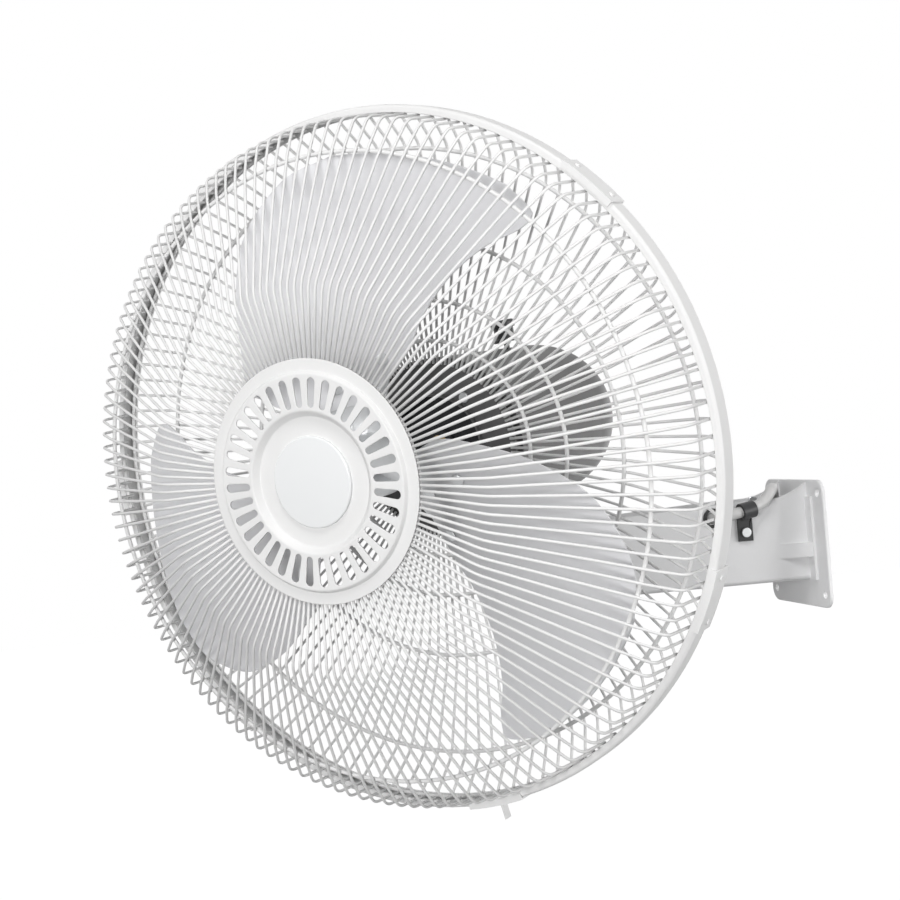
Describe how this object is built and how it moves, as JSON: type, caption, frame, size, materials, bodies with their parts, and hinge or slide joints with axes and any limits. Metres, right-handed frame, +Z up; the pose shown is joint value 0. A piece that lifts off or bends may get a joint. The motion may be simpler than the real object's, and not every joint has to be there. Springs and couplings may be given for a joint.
{
  "type": "wall mounted fan",
  "caption": "Wall mounted fan: wire guard with slotted hub plate, wide petal blades, oscillating and tilting head on a folded steel wall bracket.",
  "frame": {"origin": "centre of the wall plate's back face, which lies on the wall", "axes": "+Y into the wall, +Z up, +X to the right of someone facing the wall; the fan stands out along -Y"},
  "size_m": [0.4765, 0.6367, 0.5781],
  "materials": {
    "powder_white": "semi-gloss white powder coat",
    "bracket_paint": "semi-gloss pale grey-white paint",
    "blade_paint": "satin light silver-grey enamel",
    "cover_paint": "satin grey-white enamel",
    "black_enamel": "satin black enamel",
    "casting": "as die cast",
    "steel_zinc": "zinc plated, satin",
    "steel_ground": "ground steel",
    "lamination": "varnished electrical steel",
    "copper_varnish": "varnished copper wire, laced",
    "bronze": "oil filled sintered bronze",
    "black_plastic": "fine matt black moulding",
    "gear_plastic": "natural nylon",
    "washer_nylon": "natural nylon",
    "cord_pvc": "light grey PVC sheath, slightly glossy",
    "grommet_rubber": "black rubber",
    "cap_white": "glossy white moulding",
    "can_film": "pale film wrapped capacitor"
  },
  "bodies": {
    "bracket": {"wall_plate": "bracket_paint", "bracket_arm": "bracket_paint", "earth_screw": "steel_zinc", "tilt_bolt": "steel_zinc", "tilt_nut": "steel_zinc", "tilt_washers": "steel_zinc", "friction_discs": "washer_nylon", "power_cord": "cord_pvc", "cord_grommet": "grommet_rubber", "cable_clip": "black_plastic", "clip_screw": "steel_zinc"},
    "neck": {"neck_bracket": "bracket_paint", "pivot_pin": "steel_ground", "thrust_washer": "washer_nylon"},
    "head": {"gearbox_housing": "casting", "gearbox_lid": "casting", "pivot_set_screw": "steel_zinc", "motor_rear_shield": "black_enamel", "motor_front_shield": "black_enamel", "stator_core": "lamination", "stator_coils": "copper_varnish", "rear_bush": "bronze", "front_bush": "bronze", "motor_capacitor": "can_film", "motor_cover": "cover_paint", "cover_screws": "steel_zinc", "guard_mount_ring": "powder_white", "guard_mount_screws": "steel_zinc", "rear_guard_wires": "powder_white", "rear_guard_rings": "powder_white", "front_guard_wires": "powder_white", "front_guard_rings": "powder_white", "hub_plate": "powder_white", "centre_cap": "cap_white", "clamp_band": "powder_white", "guard_clips": "powder_white", "band_latch": "powder_white"},
    "rotor": {"motor_shaft": "steel_ground", "rotor_core": "lamination", "blades": "blade_paint", "blade_spider": "steel_zinc", "blade_rivets": "steel_zinc", "hub_nut": "steel_zinc"},
    "worm_gear": {"worm_wheel": "gear_plastic"},
    "clutch": {"clutch_knob": "black_plastic"}
  },
  "joints": [
    {"name": "head_tilt", "type": "hinge", "parent": "bracket", "child": "neck", "pos_m": [0, -0.262, 0], "axis": [1, 0, 0], "range_deg": [-15, 25]},
    {"name": "head_swing", "type": "hinge", "parent": "neck", "child": "head", "pos_m": [0, -0.2794, 0.12378], "axis": [0, -0.1392, 0.9903], "range_deg": [-90, 0]},
    {"name": "rotor_spin", "type": "hinge", "parent": "head", "child": "rotor", "pos_m": [0, -0.2794, 0.12378], "axis": [0.7071, -0.7002, -0.0984], "continuous": true},
    {"name": "worm_gear_spin", "type": "hinge", "parent": "head", "child": "worm_gear", "pos_m": [0.00212, -0.25769, 0.12683], "axis": [0, -0.1392, 0.9903], "continuous": true},
    {"name": "clutch_pull", "type": "slide", "parent": "head", "child": "clutch", "axis": [0, -0.1392, 0.9903], "range_m": [0, 0.006]}
  ],
  "couplings": [
    {"joint": "worm_gear_spin", "follows": "rotor_spin", "ratio": 0.033333}
  ]
}
